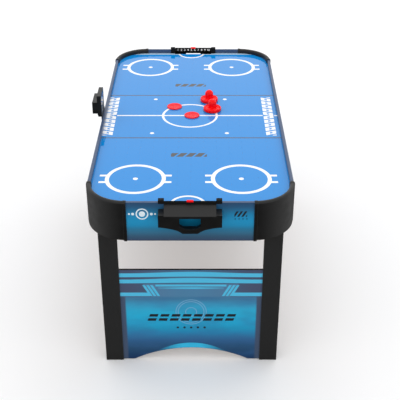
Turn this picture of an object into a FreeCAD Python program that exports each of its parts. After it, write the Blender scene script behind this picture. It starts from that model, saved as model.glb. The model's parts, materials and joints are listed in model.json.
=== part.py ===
import FreeCAD, Part
import math
import os

# A four-foot air hockey table. Millimetres, +Z up, floor at z = 0, long axis along Y.
# Shapes are drawn about the table's own centre plane. export() then moves everything by TABLE_X,
# because the score counter hangs on the left only and the origin is the middle of the whole box.

V = FreeCAD.Vector
X_AXIS, Y_AXIS, Z_AXIS = V(1, 0, 0), V(0, 1, 0), V(0, 0, 1)
ORIGIN = V(0, 0, 0)
TABLE_X = 14.0

# Cabinet
HALF_W, HALF_L = 300.0, 610.0  # outer faces of the aprons
WALL = 9.0  # apron and corner wall thickness
CORNER_R = 120.0  # outer radius of the corner wall
RAIL_Z, SKIRT_Z = 620.0, 494.0  # rail top and apron bottom
PLAY_Z = 606.0  # playing surface
PLAY_T = 3.0
CHAMBER_H = 23.0  # air chamber under the playfield
BOARD_T = 3.0
BATTEN_W = 16.0
HOLE_PITCH, HOLE_R = 40.0, 1.0  # air holes
GOAL_HALF = 73.0  # half width of the goal mouth
GOAL_EDGE = 590.0  # where the playfield stops in front of a goal
GOAL_SILL = 588.0  # bottom of the goal mouth in the end apron

# Corner covers
COVER_T = 2.5
COVER_LOW = 497.0  # only the bands at a cover's ends reach down to the apron bottom
CORE_TOP = 615.0  # the wall stops short of the rail top, inside the cover's round top
BAND_W, BAND_OUT = 9.0, 3.5

# Legs and end panels
LEG, LEG_T = 55.0, 12.0  # width and thickness of the two boards of a leg
LEG_X, LEG_Y = 244.5, 524.5  # middle of the square a leg fills
GLIDE_H, GLIDE_R = 1.0, 5.8
GLIDE_SPOTS = ((-20.0, 21.5), (21.5, 21.5), (21.5, -20.0))
PLATE_T = 15.0
PANEL_T, PANEL_BACK = 8.0, 4.0
PANEL_LOW, PANEL_TOP = 3.0, 348.0
ARCH_HALF, ARCH_H = 180.0, 45.0
BOLT_SPOTS = ((-8.0, 21.5), (21.5, -8.0))
BRACKET_Z = (70.0, 285.0)
BRACKET, BRACKET_W, BRACKET_T = 24.0, 24.0, 2.0
BRACKET_HOLE = 13.0  # from the joint to each screw

# Goal boxes
BOX_HALF, BOX_OUT, BOX_WALL = 89.0, 37.0, 2.5
BOX_TOP, BOX_SIDE_Z, BOX_FLOOR_Z, BOX_FLAT = 600.0, 561.0, 540.5, 21.5
HOOD_HALF, HOOD_BACK_Z, HOOD_FRONT_Z = 73.0, 615.0, 596.5
FINGER_HALF, FINGER_TOP, FINGER_SIDE, FINGER_LOW = 29.5, 589.5, 564.0, 553.5

# Score rails and their sliders
POST_IN, POST_OUT, POST_TOP = 73.0, 89.5, 628.4
SLIDER_HALF, SLIDER_GAP = 9.5, 0.3

# Loose pieces: x, y of each centre
MALLET_R, MALLET_H, FELT_T = 30.5, 41.0, 1.2
KNOB_R = 14.5
PUCK_R, PUCK_H = 25.5, 4.0
FLOAT = 0.2  # the loose pieces ride this far above the playfield
MALLETS = {"near_mallet": (70.0, 44.0), "far_mallet": (60.0, 124.0)}
PUCKS = {"centre_puck": (0.0, -2.0), "left_puck": (-61.0, 71.0)}

# Score counter on the left rail
CASE_IN, CASE_OUT, CASE_BACK = -301.0, -315.0, -331.5
CASE_Y0, CASE_Y1, CASE_Z0, CASE_Z1 = -49.0, 31.0, 627.0, 698.0
PACK_Z0, PACK_Z1 = 635.0, 675.0
CASE_WALL = 2.0
BUTTON_R, BUTTON_Z, BUTTON_Y = 5.0, 640.0, (-30.0, 12.0)
BUTTON_GAP = 0.3
WINDOW_Z0, WINDOW_Z1 = 654.0, 690.0

# Blower
FAN_X, FAN_Y = 0.0, -150.0
FAN_R, FAN_WALL = 60.0, 2.5
FAN_Z0 = 530.0
MOTOR_R, MOTOR_H = 17.0, 22.0
SHAFT_R, SHAFT_FIT = 1.5, 0.05
BLADES, WHEEL_R = 18, 52.0

# Switch and inlet on the right apron
SWITCH_Y, INLET_Y, SERVICE_Z = -330.0, -370.0, 545.0
ROCKER_R, ROCKER_X, ROCKER_TILT = 8.2, 295.5, 10.0

ENDS = {"near": -1, "far": 1}


def box(x0, x1, y0, y1, z0, z1):
    x0, x1 = sorted((x0, x1))
    y0, y1 = sorted((y0, y1))
    z0, z1 = sorted((z0, z1))
    return Part.makeBox(x1 - x0, y1 - y0, z1 - z0, V(x0, y0, z0))


def cylinder(radius, base, along, length):
    return Part.makeCylinder(radius, length, base, along)


def fused(shapes):
    first, rest = shapes[0], shapes[1:]
    return first.multiFuse(rest).removeSplitter() if rest else first


def cut(shape, tools):
    return shape.cut(tools).removeSplitter()


def extruded(points, along):
    """A closed polygon pushed along a vector."""
    return Part.Face(Part.makePolygon(points + points[:1])).extrude(along)


def turned(shape):
    """The same shape at the other end of the table."""
    copy = shape.copy()
    copy.rotate(ORIGIN, Z_AXIS, 180)
    return copy


def four_ways(shape):
    """A shape drawn in the +X +Y corner, repeated in all four."""
    right_far = shape.copy()
    left_far = shape.mirror(ORIGIN, X_AXIS)
    return {
        "far_right": right_far,
        "far_left": left_far,
        "near_right": right_far.mirror(ORIGIN, Y_AXIS),
        "near_left": left_far.mirror(ORIGIN, Y_AXIS),
    }


def outline_wire(half_w, half_l, radius, z):
    """A rectangle with round corners."""
    x, y, k = half_w - radius, half_l - radius, radius * math.sqrt(0.5)
    edges = []
    corners = ((1, 1, x, y), (-1, 1, -x, y), (-1, -1, -x, -y), (1, -1, x, -y))
    for n, (sx, sy, cx, cy) in enumerate(corners):
        on_side, on_end = V(cx + sx * radius, cy, z), V(cx, cy + sy * radius, z)
        start, stop = (on_side, on_end) if n % 2 == 0 else (on_end, on_side)
        middle = V(cx + sx * k, cy + sy * k, z)
        edges.append(Part.Arc(start, middle, stop).toShape())
        nsx, nsy, ncx, ncy = corners[(n + 1) % 4]
        side, end = V(ncx + nsx * radius, ncy, z), V(ncx, ncy + nsy * radius, z)
        following = end if n % 2 == 0 else side
        edges.append(Part.LineSegment(stop, following).toShape())
    return Part.Wire(edges)


def inner_wire(z):
    return outline_wire(HALF_W - WALL, HALF_L - WALL, CORNER_R - WALL, z)


def screw(base, along, length, shank_r, head_r, head_h):
    """A pan-head screw: base is under the head and along points to the tip."""
    back = V(along).multiply(-1)
    head = cylinder(head_r, base, back, head_h)
    rim = [e for e in head.Edges if e.Curve.TypeId == "Part::GeomCircle"]
    top = max(rim, key=lambda e: (e.CenterOfMass - base).dot(back))
    head = head.makeFillet(head_h * 0.45, [top])
    return fused([head, cylinder(shank_r, base, along, length)])


# ---------------------------------------------------------------- cabinet


def playfield():
    z = PLAY_Z - PLAY_T
    wires = [inner_wire(z)]
    columns, rows = 6, 14
    for i in range(-columns, columns + 1):
        for j in range(-rows, rows + 1):
            x, y = i * HOLE_PITCH, j * HOLE_PITCH
            past_x = abs(x) - (HALF_W - CORNER_R)
            past_y = abs(y) - (HALF_L - CORNER_R)
            in_corner = past_x > 0 and past_y > 0
            if in_corner and math.hypot(past_x, past_y) > CORNER_R - WALL - 15.0:
                continue
            wires.append(Part.Wire(Part.makeCircle(HOLE_R, V(x, y, z))))
    board = Part.makeFace(wires, "Part::FaceMakerBullseye").extrude(V(0, 0, PLAY_T))
    mouths = [
        box(-GOAL_HALF, GOAL_HALF, end * GOAL_EDGE, end * HALF_L, z - 1, PLAY_Z + 1)
        for end in ENDS.values()
    ]
    return board.cut(mouths)


def chamber_base():
    return PLAY_Z - PLAY_T - CHAMBER_H


def bottom_board():
    z = chamber_base() - BOARD_T
    outline = Part.Face(inner_wire(z)).extrude(V(0, 0, BOARD_T))
    outlet = cylinder(45.0, V(FAN_X, FAN_Y, z - 1), Z_AXIS, BOARD_T + 2)
    spots = fan_flange_spots(FAN_R + 9)
    holes = [cylinder(2.05, V(x, y, z - 1), Z_AXIS, 10) for x, y in spots]
    return cut(outline, [outlet] + holes)


def side_battens():
    z0, z1 = chamber_base(), PLAY_Z - PLAY_T
    inner = HALF_W - WALL
    return [box(s * (inner - BATTEN_W), s * inner, -488, 488, z0, z1) for s in (-1, 1)]


def end_battens():
    z0, z1 = chamber_base(), PLAY_Z - PLAY_T
    face = GOAL_EDGE - 2.0
    return [box(-176, 176, s * (face - BATTEN_W), s * face, z0, z1) for s in (-1, 1)]


def cross_battens():
    """Three bearers, notched below so that the air can pass between the bays."""
    z0, z1 = chamber_base(), PLAY_Z - PLAY_T
    half = HALF_W - WALL - BATTEN_W
    solids = []
    for y in (-300.0, 20.0, 300.0):
        bearer = box(-half, half, y - BATTEN_W / 2, y + BATTEN_W / 2, z0, z1)
        notches = [box(x - 30, x + 30, y - 20, y + 20, z0 - 1, z0 + 10) for x in (-160, 0, 160)]
        solids.append(cut(bearer, notches))
    return solids


def side_apron(side):
    reach = HALF_L - CORNER_R
    board = box(side * (HALF_W - WALL), side * HALF_W, -reach, reach, SKIRT_Z, RAIL_Z)
    tools = counter_bracket_holes() if side < 0 else service_holes()
    return cut(board, tools)


def end_apron():
    reach = HALF_W - CORNER_R
    board = box(-reach, reach, -HALF_L, -(HALF_L - WALL), SKIRT_Z, RAIL_Z)
    mouth = box(-GOAL_HALF, GOAL_HALF, -HALF_L - 1, -HALF_L + WALL + 1, GOAL_SILL, RAIL_Z + 1)
    holes = [cylinder(1.7, V(x, -HALF_L - 1, z), Y_AXIS, WALL) for x, z in goal_screw_spots()]
    return cut(board, [mouth] + holes)


def corner_axis():
    return V(HALF_W - CORNER_R, HALF_L - CORNER_R, 0)


def swept_corner(points, start=0.0, sweep=90.0):
    """A section given as (radius, z) turned about a corner's centre, from the +X side."""
    centre = corner_axis()
    section = [V(centre.x + r, centre.y, z) for r, z in points]
    face = Part.Face(Part.makePolygon(section + section[:1]))
    face.rotate(centre, Z_AXIS, start)
    return face.revolve(centre, Z_AXIS, sweep)


def corner_core():
    r0, r1 = CORNER_R - WALL, CORNER_R
    return swept_corner([(r0, COVER_LOW), (r1, COVER_LOW), (r1, CORE_TOP), (r0, CORE_TOP)])


def cover_section(out, bottom):
    """Section of a cover that stands this far off the wall, with a half-round top."""
    r0, r1 = CORNER_R - WALL, CORNER_R
    low, half = PLAY_Z + 0.3, (r1 - r0) / 2 + out
    middle, centre = (r0 + r1) / 2, RAIL_Z + out - half
    angles = [math.pi * n / 12 for n in range(13)]
    points = [(r1, bottom), (r1 + out, bottom)]
    points += [(middle + half * math.cos(a), centre + half * math.sin(a)) for a in angles]
    return points + [(r0 - out, low), (r0, low), (r0, CORE_TOP), (r1, CORE_TOP)]


def corner_cover():
    """A moulded skin over the corner wall, with a raised band round each end."""
    skin = swept_corner(cover_section(COVER_T, COVER_LOW))
    sweep = math.degrees(BAND_W / CORNER_R)
    section = cover_section(BAND_OUT, SKIRT_Z)
    bands = [swept_corner(section, start, sweep) for start in (0.0, 90.0 - sweep)]
    return fused([skin] + bands)


# ---------------------------------------------------------------- legs


def leg():
    """Two boards joined along their outer corner."""
    half = LEG / 2
    x1, y1 = LEG_X + half, LEG_Y + half
    end_board = box(LEG_X - half, x1, y1 - LEG_T, y1, GLIDE_H, SKIRT_Z)
    side_board = box(x1 - LEG_T, x1, LEG_Y - half, y1, GLIDE_H, SKIRT_Z)
    post = fused([end_board, side_board])
    upright = [e for e in post.Edges if abs(e.tangentAt(0).z) > 0.99]
    post = post.makeChamfer(0.8, upright)
    holes = [
        cylinder(2.5, V(LEG_X + dx, LEG_Y + dy, SKIRT_Z - 45.0), Z_AXIS, 46.0)
        for dx, dy in BOLT_SPOTS
    ]
    for z in BRACKET_Z:
        x = LEG_X - half + BRACKET_HOLE
        holes.append(cylinder(1.8, V(x, panel_inner_face() - 1, z), Y_AXIS, 10.0))
    return cut(post, holes)


def leg_plate():
    """Board in the corner of the cabinet that a leg bolts to."""
    inner = Part.Face(inner_wire(SKIRT_Z)).extrude(V(0, 0, PLATE_T))
    plate = inner.common(box(150, HALF_W, 430, HALF_L, SKIRT_Z, SKIRT_Z + PLATE_T))
    holes = [
        cylinder(2.6, V(LEG_X + dx, LEG_Y + dy, SKIRT_Z - 1), Z_AXIS, PLATE_T + 2)
        for dx, dy in BOLT_SPOTS
    ]
    return cut(plate, holes)


def leg_bolts():
    down = V(0, 0, -1)
    top = SKIRT_Z + PLATE_T
    corner = [
        screw(V(LEG_X + dx, LEG_Y + dy, top), down, 58.0, 2.45, 5.0, 3.0) for dx, dy in BOLT_SPOTS
    ]
    return [copy for bolt in corner for copy in four_ways(bolt).values()]


def foot_glides():
    """Three thin nail-on glides under each leg."""
    discs = []
    for dx, dy in GLIDE_SPOTS:
        disc = cylinder(GLIDE_R, V(LEG_X + dx, LEG_Y + dy, 0), Z_AXIS, GLIDE_H)
        rims = [e for e in disc.Edges if e.Curve.TypeId.endswith("Circle")]
        discs.append(disc.makeFillet(0.4, [e for e in rims if e.CenterOfMass.z < 0.01]))
    return [copy for disc in discs for copy in four_ways(disc).values()]


def panel_face():
    """|y| of the outer face of an end panel."""
    return LEG_Y + LEG / 2 - PANEL_BACK


def panel_inner_face():
    return panel_face() - PANEL_T


def end_panel():
    half = LEG_X - LEG / 2
    panel = box(-half, half, -panel_face(), -panel_inner_face(), PANEL_LOW, PANEL_TOP)
    radius = (ARCH_HALF**2 + ARCH_H**2) / (2 * ARCH_H)
    centre = V(0, -panel_face() - 1, PANEL_LOW + ARCH_H - radius)
    arch = cylinder(radius, centre, Y_AXIS, PANEL_T + 2)
    holes = [
        cylinder(1.8, V(s * (half - BRACKET_HOLE), -panel_inner_face() + 1, z), V(0, -1, 0), 7.0)
        for s in (-1, 1)
        for z in BRACKET_Z
    ]
    return cut(panel, [arch] + holes)


def panel_bracket(z):
    """Flat plate behind the joint of an end panel and the far right leg, at height z."""
    joint, y1 = LEG_X - LEG / 2, panel_inner_face()
    half = BRACKET_W / 2
    plate = box(joint - BRACKET, joint + BRACKET, y1 - BRACKET_T, y1, z - half, z + half)
    corners = [e for e in plate.Edges if abs(e.tangentAt(0).y) > 0.99]
    plate = plate.makeFillet(3.0, corners)
    holes = [
        cylinder(2.1, V(joint + s * BRACKET_HOLE, y1 - 5, z), Y_AXIS, 10) for s in (-1, 1)
    ]
    return cut(plate, holes)


def panel_brackets():
    drawn = [panel_bracket(z) for z in BRACKET_Z]
    return [copy for bracket in drawn for copy in four_ways(bracket).values()]


def panel_screws():
    joint, y0 = LEG_X - LEG / 2, panel_inner_face() - BRACKET_T
    solids = []
    for z in BRACKET_Z:
        into_panel = screw(V(joint - BRACKET_HOLE, y0, z), Y_AXIS, 7.5, 1.75, 3.8, 2.4)
        into_leg = screw(V(joint + BRACKET_HOLE, y0, z), Y_AXIS, 10.0, 1.75, 3.8, 2.4)
        for drawn in (into_panel, into_leg):
            solids += four_ways(drawn).values()
    return solids


# ---------------------------------------------------------------- goals


def goal_screw_spots():
    """x, z of the four screws that hold a goal box."""
    return [(-80.0, 590.0), (80.0, 590.0), (-62.0, 568.0), (62.0, 568.0)]


def line_at(y, a, b):
    """A straight edge between two (x, z) points in the plane at y."""
    return Part.LineSegment(V(a[0], y, a[1]), V(b[0], y, b[1])).toShape()


def arc_at(y, a, b, c):
    return Part.Arc(V(a[0], y, a[1]), V(b[0], y, b[1]), V(c[0], y, c[1])).toShape()


def mirrored(point):
    return (-point[0], point[1])


def finger_outline(y):
    """The opening in the front of a goal box, flat above and bowed below."""
    top, side = (FINGER_HALF, FINGER_TOP), (FINGER_HALF, FINGER_SIDE)
    edges = [line_at(y, mirrored(side), mirrored(top)), line_at(y, mirrored(top), top)]
    edges += [line_at(y, top, side), arc_at(y, side, (0, FINGER_LOW), mirrored(side))]
    return Part.Face(Part.Wire(edges))


def tray_outline(inset, y):
    """Front view of a goal box, drawn in by a wall thickness."""
    half, flat = BOX_HALF - inset, BOX_FLAT - inset * 0.4
    top, side_z, floor_z = BOX_TOP - inset, BOX_SIDE_Z + inset, BOX_FLOOR_Z + inset
    knee_x, knee_z = 40.0 - inset * 0.5, floor_z + 11.5
    side, knee, floor = (half, side_z), (knee_x, knee_z), (flat, floor_z)
    shoulder, hip = (half - 21.0, side_z - 2.2), (knee_x - 10.0, knee_z - 5.2)
    edges = [line_at(y, (-half, top), (half, top)), line_at(y, (half, top), side)]
    edges += [arc_at(y, side, shoulder, knee), arc_at(y, knee, hip, floor)]
    edges.append(line_at(y, floor, mirrored(floor)))
    edges.append(arc_at(y, mirrored(floor), mirrored(hip), mirrored(knee)))
    edges.append(arc_at(y, mirrored(knee), mirrored(shoulder), mirrored(side)))
    edges.append(line_at(y, mirrored(side), (-half, top)))
    return Part.Face(Part.Wire(edges))


def goal_hood(inset, back, front):
    """The sloping middle of a goal box, drawn in by a wall thickness."""
    half = HOOD_HALF - inset
    points = [(back, HOOD_BACK_Z - inset), (front, HOOD_FRONT_Z - inset)]
    points += [(front, BOX_SIDE_Z + 8), (back, BOX_SIDE_Z + 8)]
    return extruded([V(-half, y, z) for y, z in points], V(2 * half, 0, 0))


def above_hood(inset, back, front):
    """All that lies over the hood's slope, lowered by a wall thickness."""
    fall = (HOOD_BACK_Z - HOOD_FRONT_Z) / BOX_OUT
    top, end = HOOD_BACK_Z - inset, front - 5
    points = [(back, top), (end, top - fall * (back - end)), (end, top + 40), (back, top + 40)]
    return extruded([V(-HOOD_HALF, y, z) for y, z in points], V(2 * HOOD_HALF, 0, 0))


def goal_box():
    back, front = -HALF_L, -HALF_L - BOX_OUT
    t = BOX_WALL
    shell = fused([tray_outline(0, back).extrude(V(0, front - back, 0)), goal_hood(0, back, front)])
    shell = shell.cut(above_hood(0, back, front))
    hollow = tray_outline(t, back + 1).extrude(V(0, front + t - back - 1, 0))
    hollow = hollow.cut(above_hood(t, back + 2, front))
    hood_hollow = goal_hood(t, back + 0.01, front + t)
    shell = shell.cut([hollow, hood_hollow]).removeSplitter()
    opening = finger_outline(front - 1).extrude(V(0, t + 3, 0))
    shell = shell.cut(opening)
    lugs = []
    for x, z in goal_screw_spots():
        side = 1 if x > 0 else -1
        reach = BOX_HALF - 1 if abs(x) > 70 else abs(x) + 6
        low, high = (z - 7, BOX_TOP - 1) if abs(x) > 70 else (559.0, z + 6)
        lugs.append(box(side * (abs(x) - 7), side * reach, back, back - 3, low, high))
    shell = fused([shell] + lugs)
    holes = [cylinder(1.9, V(x, back + 1, z), V(0, -1, 0), 6.0) for x, z in goal_screw_spots()]
    return cut(shell, holes)


def goal_box_screws():
    base_y = -HALF_L - 3.0
    near = [
        screw(V(x, base_y, z), Y_AXIS, 10.5, 1.65, 3.6, 2.2) for x, z in goal_screw_spots()
    ]
    return near + [turned(s) for s in near]


# ---------------------------------------------------------------- score rails


def crest_points():
    """Section (y, z) of the bar over the near goal, with a groove each side for the slider."""
    top, low = RAIL_Z + 5.5, RAIL_Z - 4.6
    outer = [(-611.0, low), (-611.0, 621.8), (-610.2, 622.2), (-610.2, 623.2), (-611.0, 623.6)]
    crown = [(-611.0, top - 0.6), (-610.4, top), (-609.0, top)]
    run, fall = 0.764, 0.645  # direction down the numbered slope
    slope = []
    for along, deep in ((2.6, 0.0), (2.9, 0.8), (4.0, 0.8), (4.3, 0.0)):
        slope.append((-609.0 + along * run - deep * fall, top - along * fall - deep * run))
    foot = [(-597.5, 615.8), (-597.5, low)]
    return outer + crown + slope + foot


def score_rail():
    """One moulding: the numbered bar over the goal and the post at each end of it."""
    section = crest_points()
    bar = extruded([V(-POST_IN, y, z) for y, z in section], V(2 * POST_IN, 0, 0))
    inner, outer = -HALF_L + WALL, -HALF_L
    post = [(inner + 3.5, PLAY_Z + 0.4), (inner, PLAY_Z + 0.4), (inner, RAIL_Z), (outer, RAIL_Z)]
    post += [(outer, 617.0), (outer - 2, 617.0), (outer - 2, POST_TOP - 1.2)]
    post += [(outer - 0.8, POST_TOP), (inner + 2.3, POST_TOP), (inner + 3.5, POST_TOP - 1.2)]
    posts = []
    for x0 in (POST_IN, -POST_OUT):
        face = [V(x0, y, z) for y, z in post]
        posts.append(extruded(face, V(POST_OUT - POST_IN, 0, 0)))
    return fused([bar] + posts)


def slider():
    """Saddle that clips over the bar's crest and slides along it."""
    crest = Part.Face(Part.makePolygon([V(-SLIDER_HALF, y, z) for y, z in closed(crest_points())]))
    cover = [(-607.0, 621.2), (-605.0, 623.6), (-606.2, 626.0), (-608.2, 628.0), (-611.2, 628.0)]
    cover += [(-612.6, 626.8), (-612.6, 622.7), (-610.5, 622.7)]
    outer = extruded([V(-SLIDER_HALF, y, z) for y, z in cover], V(2 * SLIDER_HALF, 0, 0))
    grown = crest.makeOffset2D(SLIDER_GAP, 2)
    tool = grown.extrude(V(2 * SLIDER_HALF + 2, 0, 0))
    tool.translate(V(-1, 0, 0))
    body = outer.cut(tool)
    return max(body.Solids, key=lambda s: s.Volume)


def closed(points):
    return points + points[:1]


# ---------------------------------------------------------------- loose pieces


def revolved(points, x, y, z):
    """A solid of revolution from a (radius, height) section."""
    section = [V(r, 0, h) for r, h in closed(points)]
    solid = Part.Face(Part.makePolygon(section)).revolve(ORIGIN, Z_AXIS, 360)
    solid.translate(V(x, y, z))
    return solid


def mallet(x, y):
    base = FELT_T
    skirt = [(0, base), (28.5, base), (MALLET_R, base + 1.5), (MALLET_R, 9.5), (29.6, 11.4)]
    dish = [(27.6, 12.2), (25.4, 11.4), (24.2, 9.6), (21.0, 7.6), (17.5, 7.4), (15.2, 9.4)]
    centre = MALLET_H - KNOB_R
    knob = [(13.2, 12.2), (12.0, 15.0), (12.3, 18.0), (13.5, 21.6), (14.3, 24.2)]
    dome = []
    for step in range(6):
        angle = math.radians(15 * step)
        dome.append((KNOB_R * math.cos(angle), centre + KNOB_R * math.sin(angle)))
    dome.append((0, MALLET_H))
    return revolved(skirt + dish + knob + dome, x, y, PLAY_Z + FLOAT)


def felt(x, y):
    return cylinder(27.5, V(x, y, PLAY_Z + FLOAT), Z_AXIS, FELT_T)


def puck(x, y):
    h, r = PUCK_H, PUCK_R
    under = [(0, 0.6), (19.0, 0.6), (20.0, 0), (r - 0.9, 0), (r, 0.9)]
    over = [(r, h - 0.9), (r - 0.9, h), (20.0, h), (19.0, h - 0.6), (0, h - 0.6)]
    return revolved(under + over, x, y, PLAY_Z + FLOAT)


# ---------------------------------------------------------------- score counter


def counter_case():
    """Front half of the counter: a tray with its mouth to the left."""
    back = CASE_OUT + CASE_WALL
    w = CASE_WALL
    shell = box(back, CASE_IN, CASE_Y0, CASE_Y1, CASE_Z0, CASE_Z1)
    edges = [e for e in shell.Edges if abs(e.tangentAt(0).x) > 0.99]
    shell = shell.makeFillet(2.5, edges)
    inside = box(back - 1, CASE_IN - w, CASE_Y0 + w, CASE_Y1 - w, CASE_Z0 + w, CASE_Z1 - w)
    window = box(CASE_IN - 5, CASE_IN + 1, CASE_Y0 + 9, CASE_Y1 - 9, WINDOW_Z0, WINDOW_Z1)
    buttons = [
        cylinder(BUTTON_R + BUTTON_GAP, V(CASE_IN - 5, y, BUTTON_Z), X_AXIS, 8.0) for y in BUTTON_Y
    ]
    fixings = [cylinder(1.6, V(CASE_OUT + 7, y, CASE_Z0 - 1), Z_AXIS, 4.0) for y in (-42.0, 24.0)]
    return cut(shell, [inside, window] + buttons + fixings)


def counter_back():
    """Back plate of the counter with the battery compartment on it."""
    plate = box(CASE_OUT, CASE_OUT + CASE_WALL, CASE_Y0, CASE_Y1, CASE_Z0, CASE_Z1)
    edges = [e for e in plate.Edges if abs(e.tangentAt(0).x) > 0.99]
    plate = plate.makeFillet(2.5, edges)
    pack = box(CASE_BACK, CASE_OUT, CASE_Y0, CASE_Y1, PACK_Z0, PACK_Z1)
    body = fused([plate, pack])
    w = CASE_WALL
    y0, y1 = CASE_Y0 + 2 * w, CASE_Y1 - 2 * w
    room = box(CASE_BACK - 1, CASE_OUT + 0.5, y0, y1, PACK_Z0 + 2 * w, PACK_Z1 - 2 * w)
    z0, z1 = PACK_Z0 + w, PACK_Z1 - w
    door_seat = box(CASE_BACK - 1, CASE_BACK + w + 0.3, CASE_Y0 + w, CASE_Y1 + 1, z0, z1)
    return cut(body, [room, door_seat])


def battery_door():
    w = CASE_WALL
    z0, z1 = PACK_Z0 + 2.3, PACK_Z1 - 2.3
    plate = box(CASE_BACK, CASE_BACK + w, CASE_Y0 + 2.3, CASE_Y1, z0, z1)
    grips = [
        box(CASE_BACK - 1, CASE_BACK + 0.6, y, y + 1.2, z0 + 8, z1 - 8) for y in (12.0, 15.0, 18.0)
    ]
    return cut(plate, grips)


def batteries():
    """Two AAA cells with their raised ends."""
    x = (CASE_BACK + CASE_OUT) / 2 + 1.3
    cells = []
    for z, start in ((648.0, -32.0), (662.0, -31.2)):
        cell = cylinder(5.2, V(x, start, z), Y_AXIS, 43.7)
        tip = cylinder(1.9, V(x, start + (43.7 if z < 655 else -0.8), z), Y_AXIS, 0.8)
        cells.append(fused([cell, tip]))
    return cells


def counter_window():
    inset = 0.2
    y0, y1 = CASE_Y0 + 9 + inset, CASE_Y1 - 9 - inset
    return box(CASE_IN - 1.8, CASE_IN - 0.3, y0, y1, WINDOW_Z0 + inset, WINDOW_Z1 - inset)


def counter_board():
    """Circuit board with the two digit blocks that show through the window."""
    board = box(-309.0, -307.6, CASE_Y0 + 4, CASE_Y1 - 4, CASE_Z0 + 4, CASE_Z1 - 4)
    blocks = [box(-307.6, -303.6, y - 12.5, y + 12.5, 657.0, 687.0) for y in (-24.0, 6.0)]
    return fused([board] + blocks)


def counter_button(y):
    cap = cylinder(BUTTON_R, V(CASE_IN - 3.0, y, BUTTON_Z), X_AXIS, 4.6)
    rims = [e for e in cap.Edges if e.Curve.TypeId.endswith("Circle")]
    front = [e for e in rims if e.CenterOfMass.x > CASE_IN + 1]
    cap = cap.makeFillet(0.8, front)
    flange = cylinder(BUTTON_R + 1.6, V(CASE_IN - 3.4, y, BUTTON_Z), X_AXIS, 1.1)
    return fused([cap, flange])


def counter_bracket_holes():
    return [
        cylinder(1.7, V(-HALF_W - 1, y, 596.0), X_AXIS, WALL) for y in (-34.0, 16.0)
    ]


def counter_bracket():
    """Angle screwed to the left apron, with a shelf that the counter stands on."""
    plate = box(-HALF_W - 3, -HALF_W, CASE_Y0, CASE_Y1, 575.0, CASE_Z0)
    shelf = box(CASE_OUT + 2, -HALF_W, CASE_Y0, CASE_Y1, CASE_Z0 - 3, CASE_Z0)
    holes = [cylinder(1.9, V(-HALF_W - 4, y, 596.0), X_AXIS, 5.0) for y in (-34.0, 16.0)]
    holes += [cylinder(1.9, V(CASE_OUT + 7, y, CASE_Z0 - 4), Z_AXIS, 5.0) for y in (-42.0, 24.0)]
    return cut(fused([plate, shelf]), holes)


def counter_screws():
    to_apron = [
        screw(V(-HALF_W - 3, y, 596.0), X_AXIS, 10.5, 1.65, 3.4, 2.0) for y in (-34.0, 16.0)
    ]
    to_case = [
        screw(V(CASE_OUT + 7, y, CASE_Z0 - 3), Z_AXIS, 4.8, 1.55, 3.0, 1.8) for y in (-42.0, 24.0)
    ]
    return to_apron + to_case


# ---------------------------------------------------------------- blower


def fan_point(z):
    return V(FAN_X, FAN_Y, z)


def fan_flange_spots(radius):
    return [
        (FAN_X + radius * math.cos(a), FAN_Y + radius * math.sin(a))
        for a in (math.radians(45 + 90 * n) for n in range(4))
    ]


def blower_housing():
    top = chamber_base() - BOARD_T
    cup = cylinder(FAN_R, fan_point(FAN_Z0), Z_AXIS, top - FAN_Z0)
    flange = cylinder(FAN_R + 16, fan_point(top - 3), Z_AXIS, 3)
    body = fused([cup, flange])
    room = cylinder(FAN_R - FAN_WALL, fan_point(FAN_Z0 + FAN_WALL), Z_AXIS, 100)
    inlet = cylinder(38.0, fan_point(FAN_Z0 - 1), Z_AXIS, 10)
    holes = [cylinder(2.1, V(x, y, top - 4), Z_AXIS, 6) for x, y in fan_flange_spots(FAN_R + 9)]
    return cut(body, [room, inlet] + holes)


def grille_spokes():
    spokes = []
    for n in range(3):
        spoke = box(-60, 60, -1.5, 1.5, FAN_Z0 - 4, FAN_Z0 + 2)
        spoke.rotate(ORIGIN, Z_AXIS, 60 * n)
        spoke.translate(fan_point(0))
        spokes.append(spoke)
    return spokes


def blower_grille():
    """Inlet guard under the housing. Its middle carries the motor."""
    disc = cylinder(46.0, fan_point(FAN_Z0 - 2.5), Z_AXIS, 2.5)
    slots = []
    for inner in (20.0, 26.0, 32.0):
        ring = cylinder(inner + 4, fan_point(FAN_Z0 - 3), Z_AXIS, 4)
        ring = ring.cut(cylinder(inner, fan_point(FAN_Z0 - 3), Z_AXIS, 4))
        slots.append(ring.cut(grille_spokes()))
    return cut(disc, slots)


def blower_motor():
    can = cylinder(MOTOR_R, fan_point(FAN_Z0), Z_AXIS, MOTOR_H)
    boss = cylinder(5.0, fan_point(FAN_Z0 + MOTOR_H), Z_AXIS, 1.5)
    bore = cylinder(SHAFT_R + SHAFT_FIT, fan_point(FAN_Z0 + 8), Z_AXIS, 30)
    return cut(fused([can, boss]), [bore])


def motor_shaft():
    return cylinder(SHAFT_R, fan_point(FAN_Z0 + 9), Z_AXIS, 29)


def impeller():
    hub = cylinder(6.0, fan_point(555.0), Z_AXIS, 13.0)
    disc = cylinder(WHEEL_R, fan_point(565.0), Z_AXIS, 2.0)
    hoop = cylinder(WHEEL_R, fan_point(541.0), Z_AXIS, 2.5)
    hoop = hoop.cut(cylinder(WHEEL_R - 9, fan_point(540.0), Z_AXIS, 5))
    blades = []
    for n in range(BLADES):
        blade = box(WHEEL_R - 11, WHEEL_R - 1, -0.8, 0.8, 542.0, 566.0)
        blade.rotate(V(WHEEL_R - 6, 0, 0), Z_AXIS, 30)
        blade.rotate(ORIGIN, Z_AXIS, n * 360.0 / BLADES)
        blade.translate(fan_point(0))
        blades.append(blade)
    wheel = fused([hub, disc, hoop] + blades)
    return cut(wheel, [cylinder(SHAFT_R, fan_point(554.0), Z_AXIS, 15)])


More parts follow.
